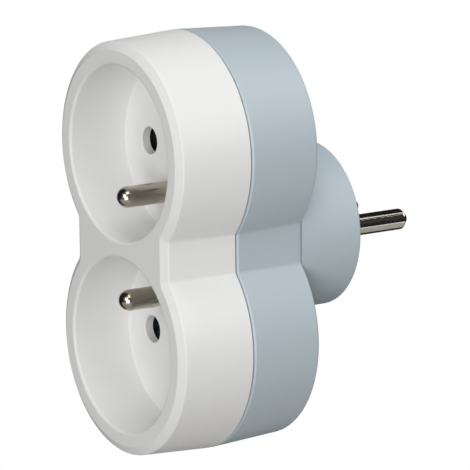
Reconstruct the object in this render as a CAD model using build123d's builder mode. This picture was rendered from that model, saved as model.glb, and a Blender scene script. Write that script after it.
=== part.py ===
from build123d import *
import os

# Plug-in adapter with two earthed sockets, one above the other.
# Millimetres. The origin is the centre of the plug face, +Y points out of the plug into
# the wall, the sockets face -Y and +Z is up. Every length called "ahead" or "station" is
# a distance ahead of the plug face, towards the sockets.

# Sizes that the plug and socket pattern sets
pin_diameter = 4.8
pin_spacing = 19.0
pin_reach = 19.0
pin_tip_chamfer = 1.5
earth_offset = 10.0
earth_reach = 14.5
contact_hole_diameter = 6.2
plug_earth_hole_diameter = 5.4
well_mouth_diameter = 39.8
well_floor_diameter = 38.9
well_depth = 14.5
barrel_root_diameter = 38.0
barrel_end_diameter = 37.9
barrel_length = 16.0

# Casing: a figure eight that is widest at the seam and drafted both ways
well_bridge = 3.7
rim_width = 5.1
cover_flare = 1.0
housing_taper = 0.9
waist_width = 38.7
cover_skirt = 1.7
pin_end_gap = 1.1

# Walls
case_wall = 2.2
floor_wall = 2.2
barrel_wall = 3.0
plug_wall = 3.0

# Edges
waist_crease = 0.8
front_round = 2.0
rim_round = 0.7
hole_chamfer = 0.2
rear_round = 0.8
barrel_end_round = 0.6

# Seam: the housing's tongue stands in the cover's recess and leaves a fine groove outside
seam_gap = 0.4
seam_chamfer = 0.4
tongue_thickness = 1.0

# Clearances
tongue_gap = 0.1
slide_gap = 0.3
press_gap = 0.05
seat_gap = 0.3

# Shutters
shutter_depth = 6.0
shutter_overlap = 0.5
shutter_margin = 0.2
ramp_border = 1.1
ramp_land = 0.8
bridge_height = 3.0
spring_pocket_depth = 2.0
spring_peg_length = 1.2
spring_wire = 0.4
spring_wire_sides = 6
spring_diameter = 3.8
spring_turns = 3

# Contact carrier
carrier_wall = 2.0
rail_thickness = 1.5
stop_height = 2.0
stop_thickness = 1.2
abutment_width = 8.0
nest_wall = 1.0
nest_height = 6.0
barrier_thickness = 1.0
barrier_height = 8.5
earth_boss_wall = 2.4

# Brass strips and their jaws
strip_thickness = 0.8
strip_width = 5.0
strip_bend = 1.2
strip_leg_z = 8.0
jaw_width = 7.0
jaw_shoulder = 1.5
jaw_pinch = 0.15
jaw_lip = 0.5
jaw_lip_length = 2.0
jaw_end_gap = 1.0
jaw_hole_gap = 0.3
earth_strip_width = 6.0
earth_strip_end = 2.6
earth_jaw_width = 5.2
earth_jaw_end_gap = 1.0
earth_grip_depth = 6.5
earth_neck_depth = 11.0

# Steel clips round the jaws
clip_thickness = 0.4
clip_width = 1.6
clip_gap = 0.3
clip_bend = 0.8

# Pin roots in the plastic, collars, tails and rivet heads
root_diameter = 5.2
collar_diameter = 8.0
plug_collar_length = 2.0
earth_collar_length = 1.5
earth_shank_diameter = 4.0
tail_diameter = 3.4
rivet_diameter = 4.8
rivet_length = 0.8
retainer_wall = 2.5

# Case screws
screw_diameter = 3.0
screw_head_diameter = 5.6
screw_head_length = 2.2
screw_seat = 2.0
screw_bite = 5.0
screw_pilot_gap = 0.4
screw_recess_length = 3.2
screw_recess_width = 0.8
screw_recess_depth = 1.0
cover_boss_diameter = 6.0
housing_boss_wall = 0.9
post_diameter = 4.0
post_spacing = 37.0

# Radii and places that follow from the sizes above
pin_radius = pin_diameter / 2
hole_radius = contact_hole_diameter / 2
mouth_radius = well_mouth_diameter / 2
floor_radius = well_floor_diameter / 2
barrel_root_radius = barrel_root_diameter / 2
barrel_end_radius = barrel_end_diameter / 2
socket_z = (well_mouth_diameter + well_bridge) / 2
front_radius = mouth_radius + rim_width
seam_radius = front_radius + cover_flare
pin_x = pin_spacing / 2
earth_z = socket_z - earth_offset

# Stations from the plug face forward
rear_face = barrel_length
rear_wall_front = rear_face + case_wall
pin_end = rear_wall_front + pin_end_gap
well_floor = pin_end + pin_reach
front_face = well_floor + well_depth
floor_back = well_floor - floor_wall
seam = floor_back - cover_skirt
cover_edge = seam + seam_gap / 2
housing_edge = seam - seam_gap / 2
tongue_end = floor_back - tongue_gap
shutter_front = floor_back - slide_gap
shutter_rear = shutter_front - shutter_depth
carrier_front = shutter_rear - slide_gap
carrier_rear = carrier_front - carrier_wall
strip_middle = carrier_rear - strip_thickness / 2
strip_rear = carrier_rear - strip_thickness
jaw_end = rear_wall_front + jaw_end_gap
collar_front = plug_wall + plug_collar_length
retainer_front = collar_front + retainer_wall
pin_strip_middle = retainer_front + strip_thickness / 2
pin_strip_front = retainer_front + strip_thickness

# The shutter in rest, as heights from its socket's centre towards the outer end
shutter_low = -hole_radius - shutter_overlap
ramp_high = hole_radius + shutter_overlap / 2
shutter_top = ramp_high + bridge_height
shutter_travel = contact_hole_diameter + shutter_overlap + shutter_margin
ramp_width = contact_hole_diameter + 2 * ramp_border
shutter_half = pin_x + ramp_width / 2
abutment_low = shutter_top + shutter_travel + slide_gap
abutment_top = abutment_low + rail_thickness
shutter_middle = (shutter_front + shutter_rear) / 2
screw_z = socket_z + abutment_top + seat_gap + cover_boss_diameter / 2

# The jaws, as half widths to the middle of the sheet
jaw_half = pin_radius + jaw_shoulder
jaw_grip = pin_radius - jaw_pinch + strip_thickness / 2
jaw_mouth = jaw_grip + jaw_lip
grip_station = jaw_end + jaw_lip_length

contact_points = [(x, z) for x in (-pin_x, pin_x) for z in (-socket_z, socket_z)]
screw_points = [(0, -screw_z), (0, screw_z)]
ends = {"upper": 1, "lower": -1}
sides = {"left": -1, "right": 1}


def station(ahead):
    """Plane across the adapter at a distance ahead of the plug face, seen from in front."""
    return Plane.XZ.offset(ahead)


def outline(inset):
    """Figure-eight outline of the casing at the seam, drawn in by an inset."""
    with BuildSketch() as shape:
        with Locations((0, socket_z), (0, -socket_z)):
            Circle(seam_radius - inset)
        Rectangle(waist_width - 2 * inset, 2 * socket_z)
        creases = shape.vertices().filter_by(lambda corner: abs(corner.Y) < socket_z / 2)
        fillet(creases, waist_crease + inset)
    return shape.sketch


def turned(axis_x, axis_z, profile):
    """Solid turned about an axis along Y, from (radius, ahead) points."""
    with BuildPart() as piece:
        with BuildSketch(Plane.XY.offset(axis_z)):
            with BuildLine():
                Polyline([(axis_x + radius, -ahead) for radius, ahead in profile], close=True)
            make_face()
        revolve(axis=Axis((axis_x, 0, axis_z), (0, 1, 0)))
    return piece.part


def casing(start, start_inset, end, end_inset):
    """Drafted figure eight between two stations: a cone for each socket and a tapered waist."""
    lobe_profile = [
        (0, start),
        (seam_radius - start_inset, start),
        (seam_radius - end_inset, end),
        (0, end),
    ]
    lobes = [turned(0, lobe_z, lobe_profile) for lobe_z in (-socket_z, socket_z)]
    middle_y = -(start + end) / 2
    with BuildPart() as body:
        with BuildSketch(Plane.XY.offset(-socket_z)):
            with BuildLine():
                Polyline(
                    (start_inset - waist_width / 2, -start),
                    (waist_width / 2 - start_inset, -start),
                    (waist_width / 2 - end_inset, -end),
                    (end_inset - waist_width / 2, -end),
                    close=True,
                )
            make_face()
        extrude(amount=2 * socket_z)
        add(lobes)
        near_waist = body.edges().filter_by(lambda edge: abs(edge.center().Z) < socket_z / 2)
        creases = near_waist.filter_by(lambda edge: abs(edge.center().Y - middle_y) < (end - start) / 4)
        fillet(creases, waist_crease + min(start_inset, end_inset))
    return body.part


def clip(axis_x, near_z, base_z, half, rear):
    """Steel clip: a U of sheet whose arms run from its base back to near_z."""
    with BuildPart() as piece:
        with BuildSketch(station(rear)):
            with BuildLine():
                FilletPolyline(
                    (axis_x - half, near_z),
                    (axis_x - half, base_z),
                    (axis_x + half, base_z),
                    (axis_x + half, near_z),
                    radius=clip_bend,
                )
            trace(line_width=clip_thickness)
        extrude(amount=clip_width)
    return piece.part


# Front cover: drafted block with a well for each socket and a skirt behind the well floors
cover_skin = casing(cover_edge, 0, front_face, cover_flare)
recess_outline = outline(case_wall - tongue_thickness - tongue_gap)

with BuildPart() as front_cover:
    add(cover_skin)
    front_edges = front_cover.faces().sort_by(Axis.Y)[0].edges()
    fillet(front_edges, front_round)

    with BuildSketch(station(cover_edge)):
        add(recess_outline)
    extrude(amount=floor_back - cover_edge, mode=Mode.SUBTRACT)
    with BuildSketch(station(carrier_front)):
        with Locations(*screw_points):
            Circle(cover_boss_diameter / 2)
    extrude(amount=floor_back - carrier_front)

    for well_z in (-socket_z, socket_z):
        with BuildSketch(Plane.XY.offset(well_z)):
            with BuildLine():
                Polyline(
                    (0, -front_face),
                    (mouth_radius, -front_face),
                    (floor_radius, -well_floor),
                    (0, -well_floor),
                    close=True,
                )
            make_face()
        revolve(axis=Axis((0, 0, well_z), (0, 1, 0)), mode=Mode.SUBTRACT)
    circles = front_cover.edges().filter_by(GeomType.CIRCLE)
    rims = circles.filter_by(lambda edge: abs(edge.radius - mouth_radius) < press_gap)
    fillet(rims, rim_round)

    with BuildSketch(station(well_floor)):
        with Locations(*contact_points):
            Circle(hole_radius)
        with Locations((0, earth_z), (0, -earth_z)):
            Circle(root_diameter / 2 + press_gap)
    extrude(amount=-floor_wall, mode=Mode.SUBTRACT)
    circles = front_cover.edges().filter_by(GeomType.CIRCLE)
    mouths = circles.filter_by(lambda edge: abs(edge.radius - hole_radius) < press_gap)
    chamfer(mouths.group_by(Axis.Y)[0], hole_chamfer)
    with BuildSketch(station(carrier_front)):
        with Locations(*screw_points):
            Circle((screw_diameter - screw_pilot_gap) / 2)
    extrude(amount=screw_bite + screw_pilot_gap, mode=Mode.SUBTRACT)

# Rear housing: drafted shell with the plug barrel behind it
housing_skin = casing(rear_face, housing_taper, housing_edge, 0)
housing_draft = housing_taper / (housing_edge - rear_face)
hollow_rear_inset = case_wall + housing_taper
hollow_end_inset = hollow_rear_inset - (tongue_end - rear_wall_front) * housing_draft
housing_hollow = casing(rear_wall_front, hollow_rear_inset, tongue_end, hollow_end_inset)
tongue_outline = outline(case_wall - tongue_thickness)
barrel_profile = [
    (0, 0),
    (barrel_end_radius, 0),
    (barrel_root_radius, rear_face),
    (0, rear_face),
]
barrel_hollow_profile = [
    (0, plug_wall),
    (barrel_end_radius - barrel_wall, plug_wall),
    (barrel_root_radius - barrel_wall, rear_wall_front),
    (0, rear_wall_front),
]
barrel = turned(0, 0, barrel_profile)
barrel_hollow = turned(0, 0, barrel_hollow_profile)
housing_boss_radius = screw_head_diameter / 2 + seat_gap + housing_boss_wall

with BuildPart() as rear_housing:
    add(housing_skin)
    rear_edges = rear_housing.faces().sort_by(Axis.Y)[-1].edges()
    fillet(rear_edges, rear_round)
    seam_edges = rear_housing.faces().sort_by(Axis.Y)[0].edges()
    chamfer(seam_edges, seam_chamfer)
    add(barrel)
    plug_edge = rear_housing.edges().filter_by(GeomType.CIRCLE).sort_by(Axis.Y)[-1]
    fillet(plug_edge, barrel_end_round)

    with BuildSketch(station(housing_edge)):
        add(tongue_outline)
    extrude(amount=tongue_end - housing_edge)
    add(housing_hollow, mode=Mode.SUBTRACT)
    add(barrel_hollow, mode=Mode.SUBTRACT)

    with BuildSketch(station(rear_wall_front)):
        with Locations(*screw_points):
            Circle(housing_boss_radius)
        with GridLocations(post_spacing, 2 * socket_z, 2, 2):
            Circle(post_diameter / 2)
    extrude(amount=carrier_rear - rear_wall_front)
    with BuildSketch(station(rear_face)):
        with Locations(*screw_points):
            Circle(screw_head_diameter / 2 + seat_gap)
    extrude(amount=carrier_rear - screw_seat - rear_face, mode=Mode.SUBTRACT)
    with BuildSketch(station(carrier_rear)):
        with Locations(*screw_points):
            Circle(screw_diameter / 2 + seat_gap)
    extrude(amount=-screw_seat, mode=Mode.SUBTRACT)

    with BuildSketch(station(0)):
        with Locations((-pin_x, 0), (pin_x, 0)):
            Circle(root_diameter / 2 + press_gap)
        with Locations((0, earth_offset)):
            Circle(plug_earth_hole_diameter / 2)
    extrude(amount=plug_wall, mode=Mode.SUBTRACT)

# Contact carrier: the plate between shutters and contacts
carrier_inset = case_wall + (housing_edge - carrier_rear) * housing_draft + seat_gap
carrier_outline = outline(carrier_inset)
earth_boss_radius = earth_shank_diameter / 2 + earth_boss_wall
rail_x = shutter_half + slide_gap + rail_thickness / 2
rail_low = shutter_low - slide_gap - stop_thickness
nest_half = jaw_half + strip_thickness / 2 + seat_gap
nest_low = -jaw_width / 2
nest_high = jaw_width / 2 + clip_gap + clip_thickness + seat_gap
barrier_x = earth_strip_width / 2 + jaw_shoulder + barrier_thickness / 2

with BuildPart() as contact_carrier:
    with BuildSketch(station(carrier_rear)):
        add(carrier_outline)
    extrude(amount=carrier_wall)
    for out in ends.values():
        with BuildSketch(station(carrier_front)):
            with Locations((-rail_x, out * socket_z), (rail_x, out * socket_z)):
                with Locations((0, out * (rail_low + abutment_top) / 2)):
                    Rectangle(rail_thickness, abutment_top - rail_low)
            with Locations((0, out * (socket_z + abutment_low + rail_thickness / 2))):
                Rectangle(abutment_width, rail_thickness)
        extrude(amount=floor_back - carrier_front)
        with BuildSketch(station(carrier_front)):
            stop_z = socket_z + rail_low + stop_thickness / 2
            with Locations((-pin_x, out * stop_z), (pin_x, out * stop_z)):
                Rectangle(ramp_width, stop_thickness)
        extrude(amount=stop_height)
        peg_plane = Plane(
            origin=(0, -shutter_middle, out * (socket_z + abutment_low)),
            x_dir=(1, 0, 0),
            z_dir=(0, 0, -out),
        )
        with BuildSketch(peg_plane):
            Circle(spring_diameter / 2 - spring_wire - slide_gap)
        extrude(amount=spring_peg_length)
        with BuildSketch(station(carrier_front)):
            with Locations((0, out * earth_z)):
                Circle(earth_boss_radius)
        extrude(amount=floor_back - earth_collar_length - carrier_front)
        with BuildSketch(station(carrier_rear)):
            nest_z = out * (socket_z + (nest_low + nest_high + nest_wall) / 2)
            with Locations((-pin_x, nest_z), (pin_x, nest_z)):
                Rectangle(2 * (nest_half + nest_wall), nest_high + nest_wall - nest_low)
            pocket_z = out * (socket_z + (nest_low + nest_high) / 2)
            with Locations((-pin_x, pocket_z), (pin_x, pocket_z)):
                Rectangle(2 * nest_half, nest_high - nest_low, mode=Mode.SUBTRACT)
        extrude(amount=-nest_height)
    with BuildSketch(station(carrier_rear)):
        with Locations((-barrier_x, 0), (barrier_x, 0)):
            Rectangle(barrier_thickness, 2 * (earth_z + earth_strip_end))
    extrude(amount=-barrier_height)
    with BuildSketch(station(carrier_rear)):
        with Locations(*contact_points):
            Circle(hole_radius + seat_gap)
        with Locations(*screw_points):
            Circle(screw_diameter / 2 + seat_gap)
        with Locations((0, earth_z), (0, -earth_z)):
            Circle(earth_shank_diameter / 2 + press_gap)
    extrude(amount=floor_back - carrier_rear, mode=Mode.SUBTRACT)

# Pin retainer: disc that holds the plug pins' collars against the plug wall
retainer_radius = barrel_end_radius - barrel_wall - seat_gap
earth_slot_half = jaw_half + strip_thickness / 2 + seat_gap
earth_slot_height = earth_jaw_width + 2 * (clip_gap + clip_thickness + seat_gap)

with BuildPart() as pin_retainer:
    with BuildSketch(station(collar_front)):
        Circle(retainer_radius)
        with Locations((-pin_x, 0), (pin_x, 0)):
            Circle(tail_diameter / 2 + press_gap, mode=Mode.SUBTRACT)
        with Locations((0, earth_offset)):
            Rectangle(2 * earth_slot_half, earth_slot_height, mode=Mode.SUBTRACT)
    extrude(amount=retainer_wall)


def busbar(axis_x):
    """Brass strip from socket to socket, with a jaw at each end and a step to the plug pin."""
    strip_path = [
        (strip_middle, socket_z),
        (strip_middle, strip_leg_z),
        (pin_strip_middle, strip_leg_z),
        (pin_strip_middle, -strip_leg_z),
        (strip_middle, -strip_leg_z),
        (strip_middle, -socket_z),
    ]
    jaw_path = [
        (-jaw_mouth, jaw_end),
        (-jaw_grip, grip_station),
        (-jaw_half, strip_middle),
        (jaw_half, strip_middle),
        (jaw_grip, grip_station),
        (jaw_mouth, jaw_end),
    ]
    with BuildPart() as piece:
        with BuildSketch(Plane.YZ.offset(axis_x - strip_width / 2)):
            with BuildLine():
                FilletPolyline([(-ahead, z) for ahead, z in strip_path], radius=strip_bend)
            trace(line_width=strip_thickness)
        extrude(amount=strip_width)
        for out in ends.values():
            with BuildSketch(Plane.XY.offset(out * socket_z - jaw_width / 2)):
                with BuildLine():
                    FilletPolyline([(axis_x + x, -ahead) for x, ahead in jaw_path], radius=strip_bend)
                trace(line_width=strip_thickness)
            extrude(amount=jaw_width)
        with BuildSketch(station(carrier_rear)):
            with Locations((axis_x, socket_z), (axis_x, -socket_z)):
                Circle(pin_radius + jaw_hole_gap)
        extrude(amount=-strip_thickness, mode=Mode.SUBTRACT)
        with BuildSketch(station(retainer_front)):
            with Locations((axis_x, 0)):
                Circle(tail_diameter / 2 + press_gap)
        extrude(amount=strip_thickness, mode=Mode.SUBTRACT)
    return piece.part


busbars = {"neutral_busbar": busbar(-pin_x), "live_busbar": busbar(pin_x)}

# Earth strip: joins both earth pins, and two long leaves grip the wall socket's earth pin
earth_mouth = plug_wall + earth_jaw_end_gap
earth_grip = plug_wall + earth_grip_depth
earth_neck = plug_wall + earth_neck_depth
earth_leaf_path = [
    (-jaw_mouth, earth_mouth),
    (-jaw_grip, earth_grip),
    (-jaw_half, earth_neck),
    (-jaw_half, strip_middle),
    (jaw_half, strip_middle),
    (jaw_half, earth_neck),
    (jaw_grip, earth_grip),
    (jaw_mouth, earth_mouth),
]

with BuildPart() as earth_strip:
    with BuildSketch(station(carrier_rear)):
        Rectangle(earth_strip_width, 2 * (earth_z + earth_strip_end))
    extrude(amount=-strip_thickness)
    with BuildSketch(Plane.XY.offset(earth_offset - earth_jaw_width / 2)):
        with BuildLine():
            FilletPolyline([(x, -ahead) for x, ahead in earth_leaf_path], radius=strip_bend)
        trace(line_width=strip_thickness)
    extrude(amount=earth_jaw_width)
    with BuildSketch(station(carrier_rear)):
        with Locations((0, earth_z), (0, -earth_z)):
            Circle(tail_diameter / 2 + press_gap)
    extrude(amount=-strip_thickness, mode=Mode.SUBTRACT)


def plug_pin(axis_x):
    """Plug pin: chamfered tip, collar behind the plug wall, tail riveted over the strip."""
    profile = [
        (0, -pin_reach),
        (pin_radius - pin_tip_chamfer, -pin_reach),
        (pin_radius, pin_tip_chamfer - pin_reach),
        (pin_radius, 0),
        (root_diameter / 2, 0),
        (root_diameter / 2, plug_wall),
        (collar_diameter / 2, plug_wall),
        (collar_diameter / 2, collar_front),
        (tail_diameter / 2, collar_front),
        (tail_diameter / 2, pin_strip_front),
        (rivet_diameter / 2, pin_strip_front),
        (rivet_diameter / 2, pin_strip_front + rivet_length),
        (0, pin_strip_front + rivet_length),
    ]
    return turned(axis_x, 0, profile)


def earth_pin(out):
    """Earth pin: round nose, collar behind the well floor, tail riveted over the strip."""
    axis_z = out * earth_z
    nose = well_floor + earth_reach
    collar_rear = floor_back - earth_collar_length
    with BuildPart() as piece:
        with BuildSketch(Plane.XY.offset(axis_z)):
            with BuildLine():
                CenterArc((0, pin_radius - nose), pin_radius, -90, 90)
                Polyline(
                    (pin_radius, pin_radius - nose),
                    (pin_radius, -well_floor),
                    (root_diameter / 2, -well_floor),
                    (root_diameter / 2, -floor_back),
                    (collar_diameter / 2, -floor_back),
                    (collar_diameter / 2, -collar_rear),
                    (earth_shank_diameter / 2, -collar_rear),
                    (earth_shank_diameter / 2, -carrier_rear),
                    (tail_diameter / 2, -carrier_rear),
                    (tail_diameter / 2, -strip_rear),
                    (rivet_diameter / 2, -strip_rear),
                    (rivet_diameter / 2, rivet_length - strip_rear),
                    (0, rivet_length - strip_rear),
                    (0, -nose),
                )
            make_face()
        revolve(axis=Axis((0, 0, axis_z), (0, 1, 0)))
    return piece.part


def shutter(out):
    """Safety shutter: two ramps that a plug's pins push aside, joined by a bridge."""
    ramp = [
        (shutter_rear, shutter_low),
        (shutter_rear + ramp_land, shutter_low),
        (shutter_front, ramp_high),
        (shutter_front, shutter_top),
        (shutter_rear, shutter_top),
    ]
    with BuildPart() as piece:
        for hole_x in (-pin_x, pin_x):
            with BuildSketch(Plane.YZ.offset(hole_x - ramp_width / 2)):
                with BuildLine():
                    Polyline([(-ahead, out * (socket_z + rise)) for ahead, rise in ramp], close=True)
                make_face()
            extrude(amount=ramp_width)
        with BuildSketch(station(shutter_rear)):
            with Locations((0, out * (socket_z + ramp_high + bridge_height / 2))):
                Rectangle(2 * shutter_half, bridge_height)
        extrude(amount=shutter_depth)
        pocket_plane = Plane(
            origin=(0, -shutter_middle, out * (socket_z + shutter_top)),
            x_dir=(1, 0, 0),
            z_dir=(0, 0, out),
        )
        with BuildSketch(pocket_plane):
            Circle(spring_diameter / 2 + slide_gap)
        extrude(amount=-spring_pocket_depth, mode=Mode.SUBTRACT)
    return piece.part


def shutter_spring(out):
    """Coil spring between the shutter's pocket and the carrier's abutment."""
    low = shutter_top - spring_pocket_depth + spring_wire / 2 + press_gap
    height = abutment_low - spring_wire / 2 - press_gap - low
    with BuildPart() as piece:
        with BuildLine() as coil:
            Helix(
                pitch=height / spring_turns,
                height=height,
                radius=(spring_diameter - spring_wire) / 2,
                center=(0, -shutter_middle, out * (socket_z + low)),
                direction=(0, 0, out),
            )
        with BuildSketch(Plane(origin=coil.line @ 0, z_dir=coil.line % 0)):
            RegularPolygon(spring_wire / 2, spring_wire_sides)
        sweep(path=coil.line, is_frenet=True)
    return piece.part


# Case screws: pan heads at the bottom of the housing's deep holes
screw_head_rear = carrier_rear - screw_seat - screw_head_length
screw_profile = [
    (0, screw_head_rear),
    (screw_head_diameter / 2, screw_head_rear),
    (screw_head_diameter / 2, carrier_rear - screw_seat),
    ((screw_diameter - screw_pilot_gap) / 2, carrier_rear - screw_seat),
    ((screw_diameter - screw_pilot_gap) / 2, carrier_front + screw_bite),
    (0, carrier_front + screw_bite),
]
screw_blanks = [turned(x, z, screw_profile) for x, z in screw_points]

with BuildPart() as case_screws:
    for blank in screw_blanks:
        add(blank)
    with BuildSketch(station(screw_head_rear)):
        with Locations(*screw_points):
            Rectangle(screw_recess_length, screw_recess_width)
            Rectangle(screw_recess_width, screw_recess_length)
    extrude(amount=screw_recess_depth, mode=Mode.SUBTRACT)

# All pieces by name
clip_half = jaw_grip + strip_thickness / 2 + clip_gap + clip_thickness / 2
clip_reach = jaw_width / 2 + clip_gap + clip_thickness / 2
pieces = {
    "front_cover": front_cover.part,
    "rear_housing": rear_housing.part,
    "contact_carrier": contact_carrier.part,
    "pin_retainer": pin_retainer.part,
    "earth_strip": earth_strip.part,
    "case_screws": case_screws.part,
    "earth_jaw_spring": clip(
        0,
        earth_offset - earth_jaw_width / 2,
        earth_offset + earth_jaw_width / 2 + clip_gap + clip_thickness / 2,
        clip_half,
        earth_grip - clip_width / 2,
    ),
}
pieces.update(busbars)
for side, sign in sides.items():
    pieces["plug_pin_" + side] = plug_pin(sign * pin_x)
for end, out in ends.items():
    pieces["earth_pin_" + end] = earth_pin(out)
    pieces["shutter_" + end] = shutter(out)
    pieces["shutter_spring_" + end] = shutter_spring(out)
    for side, sign in sides.items():
        pieces["jaw_spring_" + end + "_" + side] = clip(
            sign * pin_x,
            out * (socket_z - jaw_width / 2),
            out * (socket_z + clip_reach),
            clip_half,
            grip_station - clip_width / 2,
        )

os.makedirs("parts", exist_ok=True)
for name, piece in pieces.items():
    piece.label = name
    export_step(piece, "parts/" + name + ".step")
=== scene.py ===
"""Looks of a plug-in adapter with two earthed sockets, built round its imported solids.

Sizes in the classes are millimetres in the part's own frame, apart from those said to be in
metres. The origin is the centre of the plug face, +Y points out of the plug into the wall,
the sockets face -Y and +Z is up. A length called "ahead" is a distance ahead of the plug
face, towards the sockets, so it is minus Y.
"""

import logging
import math
from dataclasses import dataclass
from enum import Enum

import bmesh
import bpy
import numpy as np
from mathutils import Matrix, Vector


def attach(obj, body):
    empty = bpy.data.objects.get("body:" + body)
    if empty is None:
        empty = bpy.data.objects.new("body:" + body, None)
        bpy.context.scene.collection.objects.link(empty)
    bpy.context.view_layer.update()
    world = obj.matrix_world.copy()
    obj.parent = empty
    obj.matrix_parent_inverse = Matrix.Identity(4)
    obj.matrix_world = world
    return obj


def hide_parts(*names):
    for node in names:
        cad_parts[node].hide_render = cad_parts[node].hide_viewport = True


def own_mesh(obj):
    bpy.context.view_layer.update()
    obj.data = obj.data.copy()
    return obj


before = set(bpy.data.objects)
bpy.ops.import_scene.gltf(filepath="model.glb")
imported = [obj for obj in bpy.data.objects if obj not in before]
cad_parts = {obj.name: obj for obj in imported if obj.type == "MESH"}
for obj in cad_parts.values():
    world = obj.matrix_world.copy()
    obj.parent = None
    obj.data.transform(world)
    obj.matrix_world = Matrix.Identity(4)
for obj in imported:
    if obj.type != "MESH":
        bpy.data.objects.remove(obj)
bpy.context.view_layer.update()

log = logging.getLogger("adapter")

MM = 0.001
Point = tuple[float, float]
Color = tuple[float, float, float]
Point3 = tuple[float, float, float]
Piece = bpy.types.Object
Material = bpy.types.Material
Socket = bpy.types.NodeSocket
OPAQUE = 1.0


class Body(Enum):
    """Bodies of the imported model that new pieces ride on."""

    CASE = "adapter"


class Slot(Enum):
    """Material slot names of the record."""

    COVER = "cover_plastic"
    HOUSING = "housing_plastic"
    PIN = "pin_nickel"
    SPRING = "spring_steel"


class Half(Enum):
    """Halves of the adapter that its nodes and joints are named after."""

    @property
    def word(self) -> str:
        """Word for this half in those names."""
        return self.name.lower()


class End(Half):
    """The two sockets, by the sign of their height."""

    UPPER = 1
    LOWER = -1


class Side(Half):
    """The two plug pins, by the sign of their X."""

    LEFT = -1
    RIGHT = 1


# Surfaces, as arrays of points in millimetres


def rounded(
    corners: list[Point], radii: list[float], steps: int = 8, guard: float = 0.04
) -> np.ndarray:
    """Polyline with rounded corners.

    An arc touches both sides of its corner at radius / tan(half the corner's angle), and its
    points turn evenly about the centre from one touching point to the other. A guard point
    just outside each end of the arc keeps the shading of the straight sides flat.

    Args:
        corners: corner points, in order.
        radii: radius at each corner; 0 keeps it sharp.
        steps: segments of each arc.
        guard: distance of the guard points from the arc.

    Returns:
        Points of the polyline, shape (n, 2).
    """
    points = np.asarray(corners, float)
    parts = [points[:1]]
    share = np.linspace(0, 1, steps + 1)[:, None]
    for before, corner, after, radius in zip(points, points[1:], points[2:], radii[1:]):
        if radius == 0:
            parts.append(corner[None])
            continue
        back = (before - corner) / np.linalg.norm(before - corner)
        ahead = (after - corner) / np.linalg.norm(after - corner)
        half = math.acos(float(np.clip(back @ ahead, -1, 1))) / 2
        turn = math.pi - 2 * half
        reach = radius / math.tan(half)
        centre = corner + (back + ahead) / np.linalg.norm(back + ahead) * radius / math.sin(half)
        first = corner + back * reach - centre
        last = corner + ahead * reach - centre
        arc = (np.sin((1 - share) * turn) * first + np.sin(share * turn) * last) / math.sin(turn)
        parts.append((corner + back * (reach + guard))[None])
        parts.append(centre + arc)
        parts.append((corner + ahead * (reach + guard))[None])
    parts.append(points[-1:])
    return np.concatenate(parts)


def circle(centre: Point, radius: float, angles: np.ndarray) -> np.ndarray:
    """Points of a circle at given angles: centre + radius * (cos, sin)."""
    return np.asarray(centre) + radius * np.stack([np.cos(angles), np.sin(angles)], -1)


def angles_about(centre: Point, loop: np.ndarray) -> np.ndarray:
    """Angle at which each point of a loop is seen from a centre."""
    offset = loop - np.asarray(centre)
    return np.arctan2(offset[:, 1], offset[:, 0])


def full_turn(count: int) -> np.ndarray:
    """Evenly spaced angles of one full turn."""
    return np.linspace(0, 2 * math.pi, count, endpoint=False)


def at_station(flat: np.ndarray, ahead: np.ndarray | float) -> np.ndarray:
    """Points (x, z) put into space at a station: y is minus ahead."""
    y = np.broadcast_to(-np.asarray(ahead, float), flat.shape[:-1])
    return np.stack([flat[..., 0], y, flat[..., 1]], -1)


def lathe(centre: Point, profile: np.ndarray, angles: np.ndarray) -> np.ndarray:
    """Surface turned about an axis along Y.

    The point of profile row (radius, ahead) at angle a is centre + radius * (cos a, sin a) in
    x and z, and lies at y = -ahead.

    Args:
        centre: x and z of the axis.
        profile: rows of radius and ahead.
        angles: angles round the axis.

    Returns:
        Grid of points, shape (rows, angles, 3).
    """
    spokes = np.stack([np.cos(angles), np.sin(angles)], -1)
    flat = np.asarray(centre) + profile[:, 0, None, None] * spokes
    return at_station(flat, profile[:, 1, None])


def between(inner: np.ndarray, outer: np.ndarray, ahead: float, steps: int) -> np.ndarray:
    """Flat patch between two loops at a station: each row mixes the loops by an even share."""
    share = np.linspace(0, 1, steps + 1)[:, None, None]
    return at_station((1 - share) * inner + share * outer, ahead)


class Sheet:
    """Patches of one piece, gathered and then welded into one mesh at a distance in metres."""

    weld_distance = 2e-6
    sharp_angle = math.radians(32)

    def __init__(self) -> None:
        """Starts with no patches."""
        self.points: list[np.ndarray] = []
        self.quads: list[np.ndarray] = []
        self.count = 0

    def add(self, grid: np.ndarray) -> None:
        """Adds a grid of points as quads, with its last column joined to the first.

        Args:
            grid: points in millimetres, shape (rows, columns, 3).
        """
        rows, columns = grid.shape[:2]
        index = np.arange(rows * columns).reshape(rows, columns) + self.count
        beside = np.roll(index, -1, axis=1)
        quads = np.stack([index[:-1], beside[:-1], beside[1:], index[1:]], -1)
        self.points.append(grid.reshape(-1, 3))
        self.quads.append(quads.reshape(-1, 4))
        self.count += rows * columns

    def to_object(self, name: str) -> Piece:
        """Welds the patches, turns the faces outwards and links the piece.

        Args:
            name: name of the piece.

        Returns:
            The new object, at the origin, with its place in its mesh.
        """
        mesh = bpy.data.meshes.new(name)
        points = np.concatenate(self.points) * MM
        mesh.from_pydata(points.tolist(), [], np.concatenate(self.quads).tolist())
        work = bmesh.new()
        work.from_mesh(mesh)
        bmesh.ops.remove_doubles(work, verts=work.verts, dist=self.weld_distance)
        bmesh.ops.recalc_face_normals(work, faces=work.faces)
        work.to_mesh(mesh)
        work.free()
        mesh.shade_smooth()
        mesh.set_sharp_from_angle(angle=self.sharp_angle)
        piece = bpy.data.objects.new(name, mesh)
        bpy.context.scene.collection.objects.link(piece)
        return piece


# Finishes


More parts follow.
